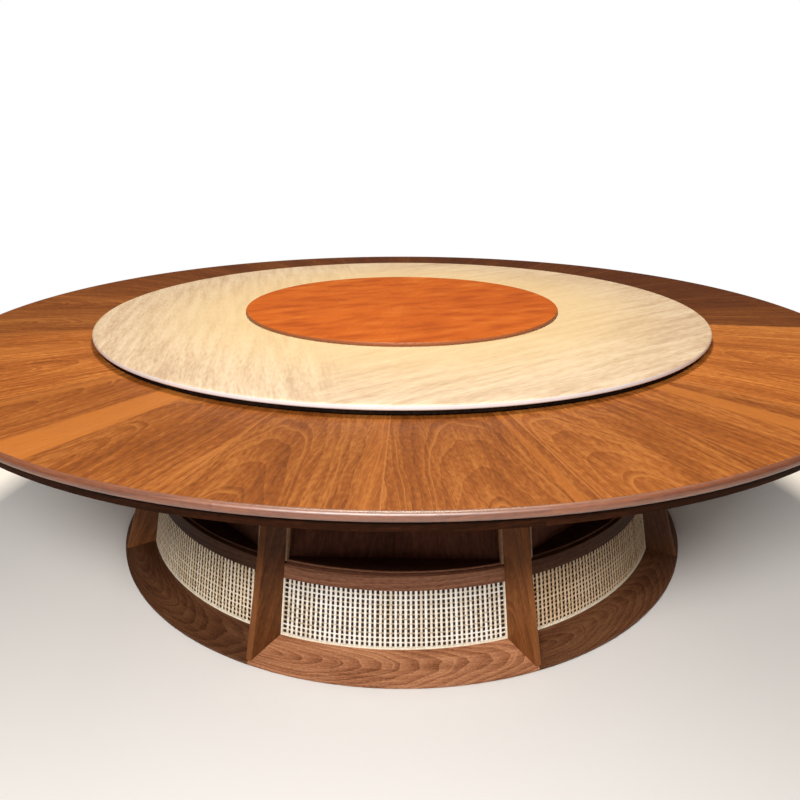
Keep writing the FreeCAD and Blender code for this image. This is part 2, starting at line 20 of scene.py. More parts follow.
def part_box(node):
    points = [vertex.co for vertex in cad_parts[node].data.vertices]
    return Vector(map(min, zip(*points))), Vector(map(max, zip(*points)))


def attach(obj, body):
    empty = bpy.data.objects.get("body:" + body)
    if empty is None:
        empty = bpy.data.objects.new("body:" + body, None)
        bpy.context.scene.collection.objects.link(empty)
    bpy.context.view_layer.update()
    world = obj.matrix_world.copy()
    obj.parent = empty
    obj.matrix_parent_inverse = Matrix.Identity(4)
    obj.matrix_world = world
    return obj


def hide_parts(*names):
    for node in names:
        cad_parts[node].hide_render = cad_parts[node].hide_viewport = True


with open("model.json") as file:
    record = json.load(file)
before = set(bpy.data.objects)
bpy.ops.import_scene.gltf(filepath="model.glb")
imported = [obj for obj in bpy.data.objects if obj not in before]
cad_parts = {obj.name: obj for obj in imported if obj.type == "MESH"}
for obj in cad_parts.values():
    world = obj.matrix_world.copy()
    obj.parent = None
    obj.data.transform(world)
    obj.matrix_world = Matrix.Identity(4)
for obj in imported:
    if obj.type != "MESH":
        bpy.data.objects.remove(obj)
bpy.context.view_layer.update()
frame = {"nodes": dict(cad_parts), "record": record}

NODES = frame["nodes"]

# %% [markdown]
# ## Measure before dressing
#
# A finish that knows where the rim or the seat of a piece is can follow it. These sizes could be
# typed in again, but then they would drift from the model when it changes. Reading them from the
# boxes of the pieces keeps one source for every size.

# %% Sizes read from the frame
MILLIMETRE = 0.001
FULL_TURN = 2 * math.pi
BAY_COUNT = sum(name.startswith("cane_panel_") for name in NODES)
BAY_ANGLE = FULL_TURN / BAY_COUNT
TOP_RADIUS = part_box("edge_nosing")[1].x
STONE_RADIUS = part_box("stone_top")[1].x
STONE_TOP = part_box("stone_top")[1].z
DISC_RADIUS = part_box("centre_disc")[1].x
DISC_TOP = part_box("centre_disc")[1].z
PLINTH_RADIUS = -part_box("plinth_segment_1")[0].y
print(f"{BAY_COUNT} bays, top {2 * TOP_RADIUS:.2f} m, stone {2 * STONE_RADIUS:.2f} m across")

# %% [markdown]
# ## The camera
#
# The picture was taken by someone standing close to the table and looking down at it. A guessed
# camera makes every later comparison useless, so this one comes first. Its distance, height, tilt
# and focal length were fitted to the outlines of the top, the stone, the disc and the plinth.

# %% Camera
PHOTO_WIDTH = 800
FOCAL_PIXELS = 692.8
SENSOR_WIDTH = 36
CAMERA_PLACE = (-0.0066, -2.462, 1.318)
CAMERA_TILT = math.radians(19.81)
CAMERA_ROUND = math.radians(1.59)


def put(name, data):
    """Put a camera, a light or a mesh into the scene."""
    thing = bpy.data.objects.new(name, data)
    bpy.context.scene.collection.objects.link(thing)
    return thing


camera_data = bpy.data.cameras.new("camera")
camera_data.sensor_width = SENSOR_WIDTH
camera_data.lens = SENSOR_WIDTH * FOCAL_PIXELS / PHOTO_WIDTH
camera = put("camera", camera_data)
camera.location = Matrix.Rotation(CAMERA_ROUND, 3, "Z") @ Vector(CAMERA_PLACE)
camera.rotation_euler = (math.pi / 2 - CAMERA_TILT, 0, CAMERA_ROUND)
bpy.context.scene.camera = camera
print(f"camera with a {camera_data.lens:.1f} mm lens at {tuple(round(v, 3) for v in camera.location)}")

# %% [markdown]
# ## A small kit for shader nodes
#
# Every finish here is a network of nodes. Building one link at a time buries the idea under
# bookkeeping, so a few helpers take either a number or another node's output and do the wiring.
# More helpers follow where a step first needs them.

# %% Wiring and sums
def feed(tree, socket, value):
    """Link an output to an input, or set the input to a constant."""
    if isinstance(value, bpy.types.NodeSocket):
        tree.links.new(value, socket)
    else:
        socket.default_value = value


def make(tree, kind, inputs=(), **settings):
    """Add a node, set its properties and feed its inputs by order or by name."""
    node = tree.nodes.new("ShaderNode" + kind)
    for name, value in settings.items():
        setattr(node, name, value)
    pairs = inputs.items() if isinstance(inputs, dict) else enumerate(inputs)
    for key, value in pairs:
        feed(tree, node.inputs[key], value)
    return node


def calc(tree, operation, *values):
    """Result of one sum."""
    return make(tree, "Math", values, operation=operation).outputs[0]


def scaled(tree, value, factor):
    return calc(tree, "MULTIPLY", value, factor)


def weigh(tree, base, *terms):
    """Add weighted values to a base: each term is a value and its weight."""
    for value, weight in terms:
        base = calc(tree, "MULTIPLY_ADD", value, weight, base)
    return base


def span(tree, x, y):
    """Distance of a place from where both values are nought."""
    return calc(tree, "SQRT", weigh(tree, 0.0, (scaled(tree, x, x), 1.0), (scaled(tree, y, y), 1.0)))


print("helpers for wiring and sums ready")

# %% [markdown]
# ## Where a point lies on the table
#
# Wood grain follows the board that it was cut from, and here boards run three ways: outward like
# rays, round the drum, and up the fins. Texture coordinates per piece would mean unwrapping each
# mesh. Since each piece keeps its true place in the frame, its position alone tells the distance
# from the axis, the angle and the sector, and from those the direction along the grain.

# %% Polar places
def position(tree):
    return make(tree, "TexCoord").outputs["Object"]


def coordinates(tree):
    """The position as x, y and z."""
    return make(tree, "SeparateXYZ", (position(tree),)).outputs


def polar(tree, count, seams_at_front):
    """Distance from the axis, height, angle inside a sector and the sector's number."""
    x, y, z = coordinates(tree)
    azimuth = calc(tree, "ARCTAN2", x, scaled(tree, y, -1.0))
    shift = 0.0 if seams_at_front else 0.5
    sector = weigh(tree, shift, (azimuth, count / FULL_TURN))
    number = calc(tree, "FLOOR", sector)
    middle = calc(tree, "SUBTRACT", calc(tree, "SUBTRACT", sector, number), 0.5)
    local = scaled(tree, middle, FULL_TURN / count)
    return {"radius": span(tree, x, y), "z": z, "local": local, "number": number, "azimuth": azimuth}


print("every point knows its distance, angle and sector")

# %% Grain along the rays
RAY_SEED_STEP = 3.7
RAY_AXIS_SPREAD = 0.2
RAY_APEX_SPREAD = 0.5
SECOND_LUCK = 0.5


def chance(tree, value):
    """Even random number from 0 to 1 that belongs to a value."""
    return make(tree, "TexWhiteNoise", {"W": value}, noise_dimensions="1D").outputs["Value"]


def along_rays(count, apex):
    """Grain of a sunburst leaf: outward from the axis, with the arches pointing in."""
    def place(tree):
        at = polar(tree, count, True)
        luck = chance(tree, at["number"])
        other = chance(tree, calc(tree, "ADD", at["number"], SECOND_LUCK))
        at["along"] = at["radius"]
        at["across"] = scaled(tree, at["radius"], at["local"])
        at["seed"] = scaled(tree, at["number"], RAY_SEED_STEP)
        at["axis"] = weigh(tree, -RAY_AXIS_SPREAD / 2, (luck, RAY_AXIS_SPREAD))
        at["apex"] = weigh(tree, apex, (other, RAY_APEX_SPREAD))
        return at
    return place


print("grain can run along the rays")

# %% Grain round the drum
DRUM_SEED_STEP = 2.3
DRUM_AXIS_SPREAD = 0.05
DRUM_APEX = -0.6
DRUM_APEX_SPREAD = 0.3
DRUM_LUCK = 0.25


def round_drum(count, axis, fineness=1.0):
    """Grain that runs round the table, its arches on their side; fine grain has closer rings."""
    def place(tree):
        at = polar(tree, count, False)
        luck = chance(tree, calc(tree, "ADD", at["number"], DRUM_LUCK))
        at["along"] = scaled(tree, scaled(tree, at["radius"], at["local"]), fineness)
        at["across"] = scaled(tree, calc(tree, "SUBTRACT", at["radius"], at["z"]), fineness)
        at["seed"] = scaled(tree, at["number"], DRUM_SEED_STEP)
        start = (axis - DRUM_AXIS_SPREAD / 2) * fineness
        at["axis"] = weigh(tree, start, (luck, DRUM_AXIS_SPREAD * fineness))
        at["apex"] = weigh(tree, DRUM_APEX * fineness, (luck, DRUM_APEX_SPREAD * fineness))
        return at
    return place


print("grain can run round the drum")

# %% Grain up the boards
BOARD_SEED_STEP = 4.1
BOARD_AXIS_SPREAD = 0.2
BOARD_APEX = -0.4
FACE_SHARE = 0.7


def upright(count, seams_at_front, rake):
    """Grain that climbs a board and leans in with it."""
    def place(tree):
        at = polar(tree, count, seams_at_front)
        aside = scaled(tree, at["radius"], calc(tree, "SINE", at["local"]))
        inward = weigh(tree, at["radius"], (at["z"], rake))
        luck = chance(tree, at["number"])
        at["along"] = at["z"]
        at["across"] = weigh(tree, inward, (aside, FACE_SHARE))
        at["seed"] = scaled(tree, at["number"], BOARD_SEED_STEP)
        at["axis"] = weigh(tree, PLINTH_RADIUS - BOARD_AXIS_SPREAD, (luck, BOARD_AXIS_SPREAD))
        at["apex"] = BOARD_APEX
        return at
    return place


print("grain can climb the boards")

# %% [markdown]
# ## Walnut
#
# Flat-sawn walnut shows nested arches where the saw cut across the growth rings, straight lines
# beside them, fine fibres and short dark pores. A stretched noise alone gives fibres but no arches.
# Here the rings are cuts through a long ellipse: close to its tip they read as arches, far from it
# as straight lines. One node group holds that, so that all the wooden pieces share one timber.

# %% Layers of the grain
# Waves per metre along and across the grain, then the seed and the detail of each noise.
GRAIN_LAYERS = {
    "wander": ((1.3, 4.0), 0.0, 2.0),
    "wobble": ((9.0, 22.0), 11.0, 2.0),
    "drift": ((1.5, 7.0), 9.0, 2.0),
    "broad": ((1.8, 8.0), 3.0, 2.0),
    "streak": ((2.6, 60.0), 5.0, 3.0),
    "mottle": ((60.0, 140.0), 13.0, 3.0),
    "fibre": ((14.0, 420.0), 1.0, 2.0),
    "flecks": ((45.0, 800.0), 7.0, 1.0),
}


def noise(tree, vector, scale=1.0, detail=2.0):
    inputs = {"Vector": vector, "Scale": scale, "Detail": detail}
    return make(tree, "TexNoise", inputs).outputs[0]


def streaks(tree, along, across, waves, seed=0.0, detail=2.0):
    """Noise with its own number of waves per metre along and across."""
    stretched = (scaled(tree, along, waves[0]), scaled(tree, across, waves[1]), seed)
    return noise(tree, make(tree, "CombineXYZ", stretched).outputs[0], detail=detail)


print("layers of the grain:", ", ".join(GRAIN_LAYERS))

# %% The grain group
RING_SPACING = 0.019
ARCH_STRETCH = 6.0
WAVER = 0.07
WOBBLE = 0.012
RING_DRIFT = 2.6
TONE_BASE = -0.6
TONE_SHARES = {"broad": 0.65, "streak": 0.5, "mottle": 0.6, "fibre": 0.45}
LINE_SPARSENESS = 0.35
LINE_START = 0.015
LINE_END = 0.08
LINE_PATCHES = (0.32, 0.55)
PORE_CUT = (0.58, 0.7)
GRAIN_INPUTS = ("along", "across", "seed", "axis", "apex")
GRAIN_OUTPUTS = ("tone", "ring", "lines", "pores", "fibre")


def remap(tree, value, low, high, to_low=0.0, to_high=1.0):
    """Ease a value from one range to another."""
    inputs = {"Value": value, "From Min": low, "From Max": high, "To Min": to_low, "To Max": to_high}
    return make(tree, "MapRange", inputs, interpolation_type="SMOOTHSTEP").outputs["Result"]


def build_grain():
    """Group that turns a place in the timber into the tone and the lines of its grain."""
    group = bpy.data.node_groups.new("walnut_grain", "ShaderNodeTree")
    for name in GRAIN_INPUTS:
        group.interface.new_socket(name, in_out="INPUT", socket_type="NodeSocketFloat")
    for name in GRAIN_OUTPUTS:
        group.interface.new_socket(name, in_out="OUTPUT", socket_type="NodeSocketFloat")
    start = group.nodes.new("NodeGroupInput").outputs
    along, across = start["along"], start["across"]

    def layer(name, side):
        waves, shift, detail = GRAIN_LAYERS[name]
        return streaks(group, along, side, waves, calc(group, "ADD", start["seed"], shift), detail)

    wander = calc(group, "SUBTRACT", layer("wander", across), 0.5)
    wobble = calc(group, "SUBTRACT", layer("wobble", across), 0.5)
    side = weigh(group, across, (wander, WAVER), (wobble, WOBBLE))
    over = calc(group, "SUBTRACT", side, start["axis"])
    ahead = scaled(group, calc(group, "SUBTRACT", along, start["apex"]), 1 / ARCH_STRETCH)
    drift = scaled(group, layer("drift", across), RING_DRIFT)
    turns = weigh(group, drift, (span(group, over, ahead), 1 / RING_SPACING))
    layers = {name: layer(name, side) for name in TONE_SHARES}
    tone = weigh(group, TONE_BASE, *((layers[name], share) for name, share in TONE_SHARES.items()))
    sparse = calc(group, "FRACT", scaled(group, turns, LINE_SPARSENESS))
    fading = remap(group, sparse, 0.0, LINE_END, 1.0, 0.0)
    thread = scaled(group, fading, remap(group, sparse, 0.0, LINE_START))
    lines = scaled(group, thread, remap(group, layers["broad"], *LINE_PATCHES))
    pores = remap(group, layer("flecks", side), *PORE_CUT)
    ring = calc(group, "FRACT", turns)
    end = group.nodes.new("NodeGroupOutput").inputs
    for name, value in zip(GRAIN_OUTPUTS, (tone, ring, lines, pores, layers["fibre"])):
        feed(group, end[name], value)
    return group


GRAIN = build_grain()
print(f"grain group with {len(GRAIN.nodes)} nodes and rings {RING_SPACING / MILLIMETRE:.0f} mm apart")

# %% [markdown]
# ## From grain to finish
#
# A finish is a colour, a roughness and a little relief. The colour could be mixed node by node for
# every board. Instead a colour ramp turns the tone of the grain into colour, so three colours, dark,
# middle and light, are enough for a board. What is the same all over a surface is set on the shader
# itself, where other programs can read it, too.

# %% Colours
MIX_COLOURS = (0, 6, 7)
MIX_RESULT = 2


def mix(tree, factor, first, second, mode="MIX"):
    """Two colours mixed by a share."""
    node = make(tree, "Mix", data_type="RGBA", blend_type=mode)
    for index, value in zip(MIX_COLOURS, (factor, first, second)):
        feed(tree, node.inputs[index], value)
    return node.outputs[MIX_RESULT]


def ramp(tree, value, stops, interpolation="LINEAR"):
    """Colour or grey shares along a value; each stop is a place and a colour."""
    node = make(tree, "ValToRGB", (value,))
    node.color_ramp.interpolation = interpolation
    elements = node.color_ramp.elements
    while len(elements) < len(stops):
        elements.new(1.0)
    for element, (place, colour) in zip(elements, stops):
        element.position = place
        element.color = colour if isinstance(colour, tuple) else (colour, colour, colour, 1.0)
    return node.outputs[0]


print("colours can be mixed and laid along a ramp")

# %% Surfaces
def new_finish(name, roughness, specular=0.4, **constants):
    """Start a material and set what is the same all over it on the shader itself."""
    material = bpy.data.materials.new(name)
    material.use_nodes = True
    shader = material.node_tree.nodes["Principled BSDF"]
    shader.inputs["Roughness"].default_value = roughness
    shader.inputs["Specular IOR Level"].default_value = specular
    for key, value in constants.items():
        shader.inputs[key.replace("_", " ").title().replace("Ior", "IOR")].default_value = value
    return material, material.node_tree, shader


def surface(tree, shader, colour, roughness, height, depth):
    """Feed a shader its colour, its roughness and, where there is a depth, its relief."""
    feed(tree, shader.inputs["Base Color"], colour)
    feed(tree, shader.inputs["Roughness"], roughness)
    if depth:
        relief = make(tree, "Bump", {"Height": height, "Distance": depth, "Strength": 1.0})
        feed(tree, shader.inputs["Normal"], relief.outputs[0])


print("surfaces take a colour, a roughness and a relief")

# %% Walnut finish
TONE_PLACES = (0.22, 0.5, 0.78)
PORE_SHARE = 0.4
SMOOTHER = 0.05
FIBRE_ROUGHNESS = 0.08
PORE_ROUGHNESS = 0.12
FIBRE_RELIEF = 0.3
PORE_RELIEF = -0.7
GRAIN_DEPTH = 0.15 * MILLIMETRE


def walnut(name, place, dark, middle, light, roughness=0.45, boldness=0.2, adjust=None, **constants):
    """Walnut in three tones, with its grain laid by place and rings of some boldness."""
    material, tree, shader = new_finish(name, roughness, **constants)
    at = place(tree)
    grain = make(tree, "Group", node_tree=GRAIN)
    for key in GRAIN_INPUTS:
        feed(tree, grain.inputs[key], at[key])
    tone, ring, lines, pores, fibre = grain.outputs
    tone = weigh(tree, tone, (calc(tree, "SUBTRACT", 0.5, ring), boldness))
    colour = ramp(tree, tone, list(zip(TONE_PLACES, (dark, middle, light))))
    colour = mix(tree, lines, colour, light)
    if adjust:
        colour = adjust(tree, at, colour, fibre)
    colour = mix(tree, scaled(tree, pores, PORE_SHARE), colour, dark)
    sheen = weigh(tree, roughness - SMOOTHER, (fibre, FIBRE_ROUGHNESS), (pores, PORE_ROUGHNESS))
    relief = weigh(tree, 0.0, (fibre, FIBRE_RELIEF), (pores, PORE_RELIEF))
    surface(tree, shader, colour, sheen, relief, GRAIN_DEPTH)
    return material


print("walnut can be laid in any of the three directions")

# %% [markdown]
# ## The sunburst top
#
# The top is a fan of veneer leaves whose grain runs outward. Real leaves come from different parts
# of the log, so neighbours differ in tone, some carry a stripe of pale sapwood, and a fine pale glue
# line shows at each seam. Random tones would be quick, but the eye knows the leaves by their order.
# So the tones and the stripes are chosen leaf by leaf. The tones also hold painted shade: the leaves
# at the back of the top are painted much darker than those at the front. A colour ramp round the
# table would blur their edges, because a ramp is kept as a short table, so each step is a comparison
# with its own angle.

# %% Tones of the leaves
LEAF_COUNT = 24

# Angle where a tone starts, in degrees from the front, and the tone from dark to pale; the back
# half of the top is painted dark as painted shade.
LEAF_TONES_AND_SHADE = (
    (-180, 0.06), (-165, 0.12), (-150, 0.16), (-135, 0.22), (-120, 0.36), (-105, 0.47),
    (-90, 0.50), (-75, 0.90), (-60, 0.88), (-45, 0.62), (-30, 0.50), (-15, 0.42),
    (0, 0.46), (15, 0.54), (30, 0.66), (45, 0.98), (60, 1.00), (75, 0.93),
    (83.2, 0.20), (97, 0.12), (105, 0.04), (120, 0.00), (135, 0.05), (150, 0.02),
)


def leaf_tone_and_shade(tree, degrees):
    """Tone with painted shade that steps from leaf to leaf."""
    tone = LEAF_TONES_AND_SHADE[0][1]
    for (_, before), (angle, after) in zip(LEAF_TONES_AND_SHADE, LEAF_TONES_AND_SHADE[1:]):
        past = calc(tree, "GREATER_THAN", degrees, angle)
        tone = weigh(tree, tone, (past, after - before))
    return tone


print("tones for", LEAF_COUNT, "leaves in", len(LEAF_TONES_AND_SHADE), "steps")

# %% Sapwood stripes and glue lines
# Angle of the soft edge and of the sharp edge, in degrees from the front, and the strength.
SAPWOOD_STRIPES = (
    (-76.4, -75.0, 0.5), (-66.5, -64.0, 0.5), (-43.8, -42.8, 0.6), (-33.4, -28.9, 1.0),
    (-1.7, 0.0, 0.3), (13.9, 13.2, 0.5), (41.4, 38.8, 1.0), (80.8, 83.2, 0.4),
)
SOFT_EDGE_SHARE = 0.2
SHARP_EDGE_DEGREES = 0.15
SEAM_WIDTH = 2.2 * MILLIMETRE


def sapwood(tree, degrees):
    """Share of the sapwood stripes; each rises over a soft edge and ends at a sharp one."""
    total = 0.0
    for soft, sharp, share in SAPWOOD_STRIPES:
        fade = SOFT_EDGE_SHARE * (soft - sharp)
        nick = math.copysign(SHARP_EDGE_DEGREES, sharp - soft)
        rise = remap(tree, degrees, soft + fade, soft, 0.0, share)
        fall = remap(tree, degrees, sharp, sharp + nick, 1.0, 0.0)
        total = weigh(tree, total, (rise, fall))
    return total


def seam_mask(tree, at, count):
    """One on the glue lines between leaves."""
    inside = calc(tree, "SUBTRACT", math.pi / count, calc(tree, "ABSOLUTE", at["local"]))
    return remap(tree, scaled(tree, inside, at["radius"]), SEAM_WIDTH / 4, SEAM_WIDTH, 1.0, 0.0)


print(len(SAPWOOD_STRIPES), "sapwood stripes and glue lines of", SEAM_WIDTH / MILLIMETRE, "mm")

# %% Veneer of the top
def srgb(red, green, blue):
    """Colour given as it looks on a screen, in the linear values that shaders use."""
    return (*Color((red / 255, green / 255, blue / 255)).from_srgb_to_scene_linear(), 1.0)


def tinted(tree, colour, tint):
    """A colour seen through a stain."""
    return mix(tree, 1.0, colour, tint, "MULTIPLY")


DARKEST_LEAF = srgb(120, 106, 86)
PALEST_LEAF = srgb(255, 255, 255)
SAPWOOD = srgb(174, 105, 43)
SAPWOOD_FIBRE = (0.2, 0.6)
SAPWOOD_SHARES = (0.6, 0.95)
GLUE_LINE = srgb(186, 120, 64)
GLUE_SHARE = 0.5


def sunburst_leaves(tree, at, colour, fibre):
    """Tones with painted shade at the back, sapwood and glue lines over the grain of the top."""
    degrees = scaled(tree, at["azimuth"], 180 / math.pi)
    # Painted shade: the leaves at the back of the top are painted darker than those at the front.
    shade = mix(tree, leaf_tone_and_shade(tree, degrees), DARKEST_LEAF, PALEST_LEAF)
    colour = tinted(tree, colour, shade)
    stripe = scaled(tree, sapwood(tree, degrees), remap(tree, fibre, *SAPWOOD_FIBRE, *SAPWOOD_SHARES))
    colour = mix(tree, stripe, colour, SAPWOOD)
    return mix(tree, scaled(tree, seam_mask(tree, at, LEAF_COUNT), GLUE_SHARE), colour, GLUE_LINE)


veneer = walnut(
    "veneer", along_rays(LEAF_COUNT, TOP_RADIUS),
    srgb(132, 71, 24), srgb(170, 97, 37), srgb(208, 134, 64), roughness=0.42, specular=0.25,
    boldness=0.18, adjust=sunburst_leaves,
)
print("veneer of the top with", len(veneer.node_tree.nodes), "nodes")

# %% [markdown]
# ## The disc in the middle
#
# The wooden disc on the stone is veneered in a fan, too, but from a redder log with a soft, mottled
# figure. The same grain serves, with fewer and wider leaves and a warmer set of tones. The figure is
# one stretched noise that lies across all the leaves, so the fan shows only faintly.

# %% Figure of the disc
FIGURE_ANGLE = math.radians(25)
FIGURE_WAVES = (6.0, 17.0)
FIGURE_DETAIL = 6.0
FIGURE_MIDDLE = 0.46

# Where the figure is strongest, its share there and its tone: the dark clouds, then the pale ones.
FIGURE_CLOUDS = ((0.68, 0.8, srgb(162, 71, 13)), (0.3, 0.5, srgb(210, 122, 50)))


def turned(tree, x, y, angle):
    """Distance along and across a direction."""
    along = weigh(tree, 0.0, (x, math.cos(angle)), (y, math.sin(angle)))
    across = weigh(tree, 0.0, (x, -math.sin(angle)), (y, math.cos(angle)))
    return along, across


def clouded(tree, colour):
    """Soft dark and pale clouds over a colour."""
    x, y, _ = coordinates(tree)
    figure = streaks(tree, *turned(tree, x, y, FIGURE_ANGLE), FIGURE_WAVES, detail=FIGURE_DETAIL)
    for strongest, share, tone in FIGURE_CLOUDS:
        cloud = remap(tree, figure, FIGURE_MIDDLE, strongest, 0.0, share)
        colour = mix(tree, cloud, colour, tone)
    return colour


print("figure lies at", round(math.degrees(FIGURE_ANGLE)), "degrees")

# %% Veneer of the disc
DISC_LEAF_COUNT = 10
DISC_LEAF_SHARE = 0.4
DISC_LEAF_TONE = srgb(176, 80, 15)
DISC_GLUE_LINE = srgb(206, 116, 42)
DISC_GLUE_SHARE = 0.2
# Painted light and shade: the rim of the disc is painted a flat pinkish brown.
DISC_RIM = (DISC_TOP - 2 * MILLIMETRE, DISC_TOP - 0.4 * MILLIMETRE)
DISC_RIM_LIGHT_AND_SHADE = srgb(146, 88, 56)
DISC_APEX = 0.75 * DISC_RADIUS


def disc_leaves(tree, at, colour, fibre):
    """Tones, clouds, glue lines and painted light and shade on the rim over the grain of the disc."""
    shade = remap(tree, chance(tree, at["number"]), 0.0, 1.0, 0.0, DISC_LEAF_SHARE)
    colour = clouded(tree, mix(tree, shade, colour, DISC_LEAF_TONE))
    glue = scaled(tree, seam_mask(tree, at, DISC_LEAF_COUNT), DISC_GLUE_SHARE)
    colour = mix(tree, glue, colour, DISC_GLUE_LINE)
    return mix(tree, remap(tree, at["z"], *DISC_RIM, 1.0, 0.0), colour, DISC_RIM_LIGHT_AND_SHADE)


disc_veneer = walnut(
    "disc_veneer", along_rays(DISC_LEAF_COUNT, DISC_APEX),
    srgb(182, 86, 19), srgb(194, 96, 23), srgb(202, 105, 29), roughness=0.4, specular=0.25,
    boldness=0.1, adjust=disc_leaves,
)
print("disc veneer with", DISC_LEAF_COUNT, "leaves")

# %% [markdown]
# ## Solid wood of the edge and the base
#
# The nosing, the band below it, the rails and the plinth are bent or sawn to the curve, so their
# grain runs round the table. The fins and the boards in the niches stand upright, so theirs climbs.
# Each bay is painted a tone of its own as painted shade under the top, with the front one palest
# and the ones beside it darkest. Each fin takes a tone of its own, too, so the tones go round the
# table in steps.
# Here a colour ramp will do, because its steps lie under the fins or between them. The nosing has a
# coat of lacquer over the wood, and that gives it the pale line of light.

# %% Painted shade by the bay
# Painted shade: the front bay is the palest and the bays beside it are the darkest.
BAY_SHADE_SHARES = (0.60, 0.50, 0.42, 0.26, 1.00, 0.35, 0.42, 0.52)
GREEN_LOSS = 0.1
BLUE_LOSS = 0.25


def by_turn(tree, at, stops):
    """Colour or grey that steps round the table; each stop is an angle from the front and its value."""
    around = weigh(tree, 0.5, (at["azimuth"], 1 / FULL_TURN))
    places = [(angle / 360 + 0.5, value) for angle, value in stops]
    return ramp(tree, around, places, "CONSTANT")


def bay_shade_colour(share):
    """Shaded bays are painted redder than the lit one: a share of the tone, with less of the green and
    the blue.
    """
    green = 1 - GREEN_LOSS + GREEN_LOSS * share
    blue = 1 - BLUE_LOSS + BLUE_LOSS * share
    return (share, share * green, share * blue, 1.0)


def bay_shade(tree, at, colour, fibre):
    """Painted shade by the bay: the front bay is the palest, the bays beside it the darkest."""
    half = 180 / BAY_COUNT
    tones = [bay_shade_colour(share) for share in BAY_SHADE_SHARES]
    steps = [(-180, tones[0])]
    steps += [(360 * k / BAY_COUNT - 180 - half, tone) for k, tone in enumerate(tones) if k]
    steps.append((180 - half, tones[0]))
    return tinted(tree, colour, by_turn(tree, at, steps))


print("board tones for", len(BAY_SHADE_SHARES), "bays")

# %% Fin tones and painted highlight
FIN_SHARES = (0.60, 0.68, 0.85, 0.52, 0.80, 0.48, 0.62, 0.70)
# Painted highlight: the narrow outer edge of every fin is painted paler, as if lit.
FIN_HIGHLIGHT_TONE = srgb(150, 92, 48)
FIN_HIGHLIGHT_SHARE = 0.4

FIN_POINTS = [(math.hypot(*vertex.co.xy), vertex.co.z) for vertex in NODES["fin_1"].data.vertices]
FIN_LOW = min(z for _, z in FIN_POINTS)
FIN_HIGH = max(z for _, z in FIN_POINTS)
FIN_FOOT = max(radius for radius, z in FIN_POINTS if z < FIN_LOW + MILLIMETRE)
FIN_HEAD = max(radius for radius, z in FIN_POINTS if z > FIN_HIGH - MILLIMETRE)
FIN_LEAN = (FIN_FOOT - FIN_HEAD) / (FIN_HIGH - FIN_LOW)
FIN_EDGE = FIN_FOOT + FIN_LEAN * FIN_LOW
FIN_HIGHLIGHT_RANGE = (FIN_EDGE - 4 * MILLIMETRE, FIN_EDGE - 2 * MILLIMETRE)


def fin_tones_and_highlight(tree, at, colour, fibre):
    """Every fin takes a tone of its own, and its narrow outer edge is painted paler as a painted
    highlight.
    """
    steps = [(360 * k / BAY_COUNT - 180, share) for k, share in enumerate(FIN_SHARES)]
    colour = tinted(tree, colour, by_turn(tree, at, steps))
    outward = weigh(tree, at["radius"], (at["z"], FIN_LEAN))
    fin_highlight = remap(tree, outward, *FIN_HIGHLIGHT_RANGE, 0.0, FIN_HIGHLIGHT_SHARE)
    return mix(tree, fin_highlight, colour, FIN_HIGHLIGHT_TONE)


print(f"fins lean {math.degrees(math.atan(FIN_LEAN)):.1f} degrees")

# %% Shelf of the rails
# Painted shade: the shelf behind the lip of every rail is painted near black.
SHELF_SHADE = srgb(30, 16, 11)
SHELF_SHADE_SHARE = 0.9
RAIL_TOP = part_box("cane_rail_1")[1].z
LIP_RADIUS = max(math.hypot(*vertex.co.xy) for vertex in NODES["cane_rail_1"].data.vertices
                 if vertex.co.z > RAIL_TOP - MILLIMETRE)
LIP_BACK = (LIP_RADIUS - 5 * MILLIMETRE, LIP_RADIUS - 2 * MILLIMETRE)


def shaded_shelf(tree, at, colour, fibre):
    """The shelf behind the lip of a rail is painted near black as painted shade."""
    colour = bay_shade(tree, at, colour, fibre)
    behind = remap(tree, at["radius"], *LIP_BACK, SHELF_SHADE_SHARE, 0.0)
    return mix(tree, behind, colour, SHELF_SHADE)


print(f"lip of the rails {LIP_RADIUS:.3f} m from the axis")

# %% Wood of the base
PLINTH_AXIS = PLINTH_RADIUS - 0.09
PLINTH_FINENESS = 2.0
RAIL_AXIS = 0.3
FIN_RAKE = 0.31
NICHE_RAKE = 0.37
BACKING_RAKE = 0.2

plinth_wood = walnut(
    "plinth_wood", round_drum(BAY_COUNT, PLINTH_AXIS, PLINTH_FINENESS),
    srgb(112, 64, 38), srgb(164, 108, 74), srgb(200, 144, 104), roughness=0.5, specular=0.25,
    boldness=0.28, adjust=bay_shade)
fin_wood = walnut(
    "fin_wood", upright(BAY_COUNT, True, FIN_RAKE),
    srgb(98, 54, 25), srgb(132, 78, 38), srgb(160, 100, 54), roughness=0.45, specular=0.25,
    adjust=fin_tones_and_highlight)
rail_wood = walnut(
    "rail_wood", round_drum(BAY_COUNT, RAIL_AXIS),
    srgb(108, 66, 48), srgb(144, 97, 73), srgb(172, 124, 96), roughness=0.5, specular=0.15,
    adjust=shaded_shelf)
niche_wood = walnut(
    "niche_wood", upright(BAY_COUNT, False, NICHE_RAKE),
    srgb(66, 36, 26), srgb(92, 53, 38), srgb(114, 70, 52), roughness=0.5, specular=0.12, boldness=0.05)
backing = walnut(
    "backing", upright(BAY_COUNT, False, BACKING_RAKE),
    srgb(30, 18, 10), srgb(52, 34, 20), srgb(70, 48, 30), roughness=0.7)
print("walnut for the plinth, the fins, the rails and the niches")

# %% Wood of the top
EDGE_SEGMENTS = 16
EDGE_AXIS = 0.5
FAR_APEX = 2.0

